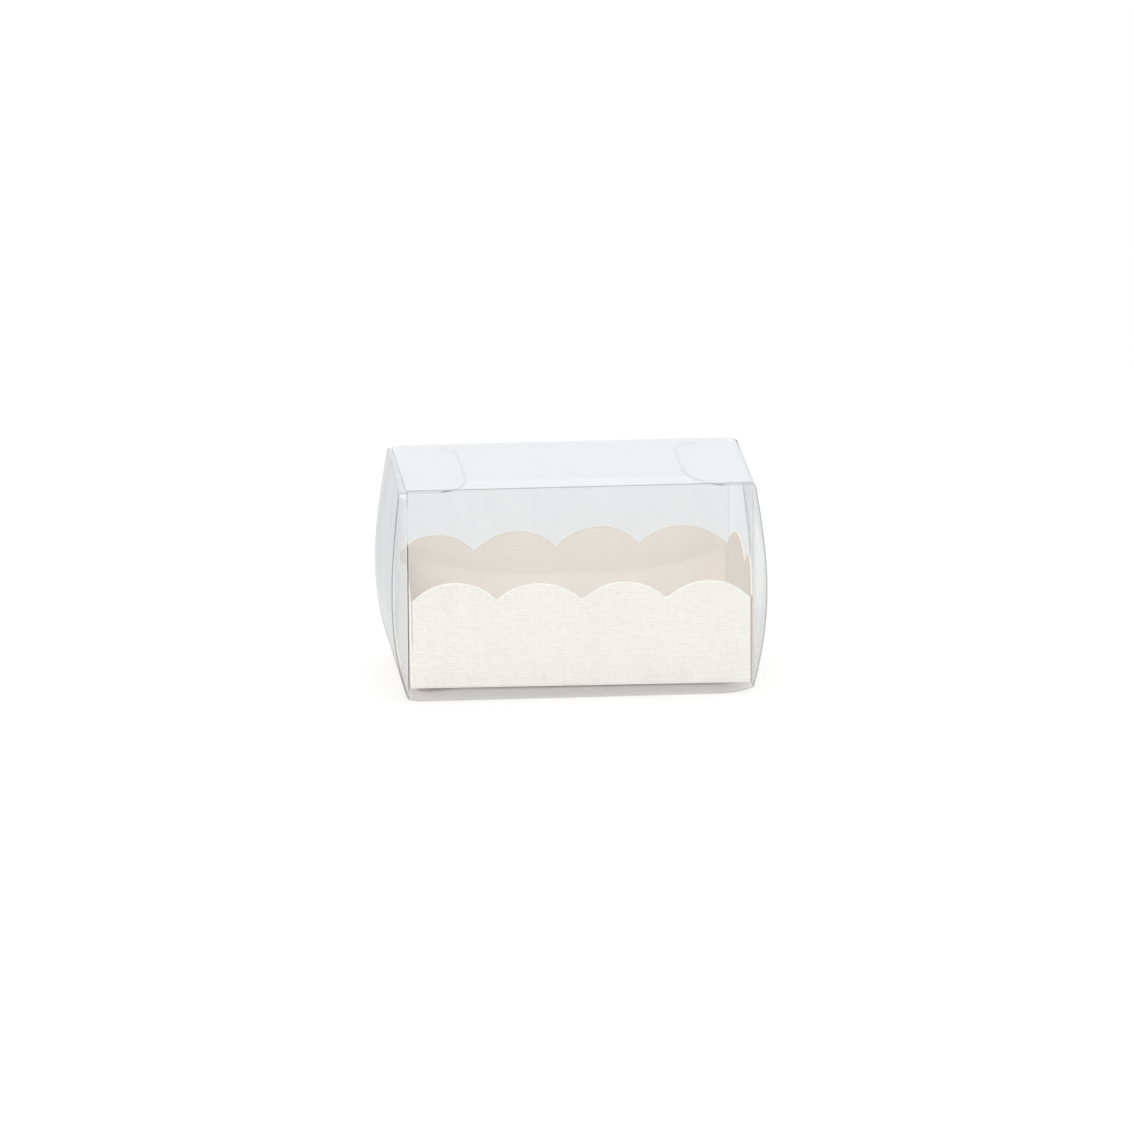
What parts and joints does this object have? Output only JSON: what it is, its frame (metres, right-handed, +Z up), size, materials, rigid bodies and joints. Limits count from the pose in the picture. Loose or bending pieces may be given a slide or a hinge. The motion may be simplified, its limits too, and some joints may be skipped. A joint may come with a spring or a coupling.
{
  "type": "favor box",
  "caption": "Clear film gift box with bulging tuck-in ends, holding an ivory card tray with scalloped walls for sweets or small favors.",
  "frame": {"origin": "middle of the base, on the surface that the box stands on", "axes": "+X along the tube from the left end closure to the right one, +Y from the front panel to the back panel, +Z up"},
  "size_m": [0.0874, 0.048, 0.05],
  "materials": {
    "clear_film": "clear glossy film",
    "glue": "clear dried glue",
    "ivory_card": "ivory card with a fine linen emboss"
  },
  "bodies": {
    "tube": {"front_panel": "clear_film", "bottom_panel": "clear_film", "back_panel": "clear_film", "top_panel": "clear_film", "seam_tab": "clear_film", "seam_glue": "glue", "tray_base": "ivory_card", "tray_left_wall": "ivory_card", "tray_right_wall": "ivory_card"},
    "left_closure": {"left_end_panel": "clear_film"},
    "left_tongue_body": {"left_tongue": "clear_film"},
    "left_front_flap": {"left_front_dust_flap": "clear_film"},
    "left_back_flap": {"left_back_dust_flap": "clear_film"},
    "right_closure": {"right_end_panel": "clear_film"},
    "right_tongue_body": {"right_tongue": "clear_film"},
    "right_front_flap": {"right_front_dust_flap": "clear_film"},
    "right_back_flap": {"right_back_dust_flap": "clear_film"},
    "front_wall": {"tray_front_wall": "ivory_card"},
    "back_wall": {"tray_back_wall": "ivory_card"}
  },
  "joints": [
    {"name": "left_closure_fold", "type": "hinge", "parent": "tube", "child": "left_closure", "pos_m": [-0.03985, 0, 0.00015], "axis": [0, -1, 0], "range_deg": [0, 74]},
    {"name": "left_tongue_fold", "type": "hinge", "parent": "left_closure", "child": "left_tongue_body", "pos_m": [-0.0413, 0, 0.0491], "axis": [0, -1, 0], "range_deg": [-56, 0]},
    {"name": "left_front_flap_fold", "type": "hinge", "parent": "tube", "child": "left_front_flap", "pos_m": [-0.03985, -0.02385, 0.025], "axis": [0, 0, 1], "range_deg": [0, 45]},
    {"name": "left_back_flap_fold", "type": "hinge", "parent": "tube", "child": "left_back_flap", "pos_m": [-0.03985, 0.02385, 0.025], "axis": [0, 0, -1], "range_deg": [0, 45]},
    {"name": "right_closure_fold", "type": "hinge", "parent": "tube", "child": "right_closure", "pos_m": [0.03985, 0, 0.00015], "axis": [0, 1, 0], "range_deg": [0, 74]},
    {"name": "right_tongue_fold", "type": "hinge", "parent": "right_closure", "child": "right_tongue_body", "pos_m": [0.0405, 0, 0.0491], "axis": [0, 1, 0], "range_deg": [-56, 0]},
    {"name": "right_front_flap_fold", "type": "hinge", "parent": "tube", "child": "right_front_flap", "pos_m": [0.03985, -0.02385, 0.025], "axis": [0, 0, -1], "range_deg": [0, 45]},
    {"name": "right_back_flap_fold", "type": "hinge", "parent": "tube", "child": "right_back_flap", "pos_m": [0.03985, 0.02385, 0.025], "axis": [0, 0, 1], "range_deg": [0, 45]},
    {"name": "tray_front_wall_fold", "type": "hinge", "parent": "tube", "child": "front_wall", "pos_m": [0, -0.02305, 0.0034], "axis": [-1, 0, 0], "range_deg": [0, 60]},
    {"name": "tray_back_wall_fold", "type": "hinge", "parent": "tube", "child": "back_wall", "pos_m": [0, 0.02305, 0.0034], "axis": [1, 0, 0], "range_deg": [0, 60]}
  ],
  "couplings": [
    {"joint": "left_tongue_fold", "follows": "left_closure_fold", "ratio": -0.75},
    {"joint": "left_front_flap_fold", "follows": "left_closure_fold", "ratio": 0.6},
    {"joint": "left_back_flap_fold", "follows": "left_closure_fold", "ratio": 0.6},
    {"joint": "right_tongue_fold", "follows": "right_closure_fold", "ratio": -0.75},
    {"joint": "right_front_flap_fold", "follows": "right_closure_fold", "ratio": 0.6},
    {"joint": "right_back_flap_fold", "follows": "right_closure_fold", "ratio": 0.6}
  ]
}
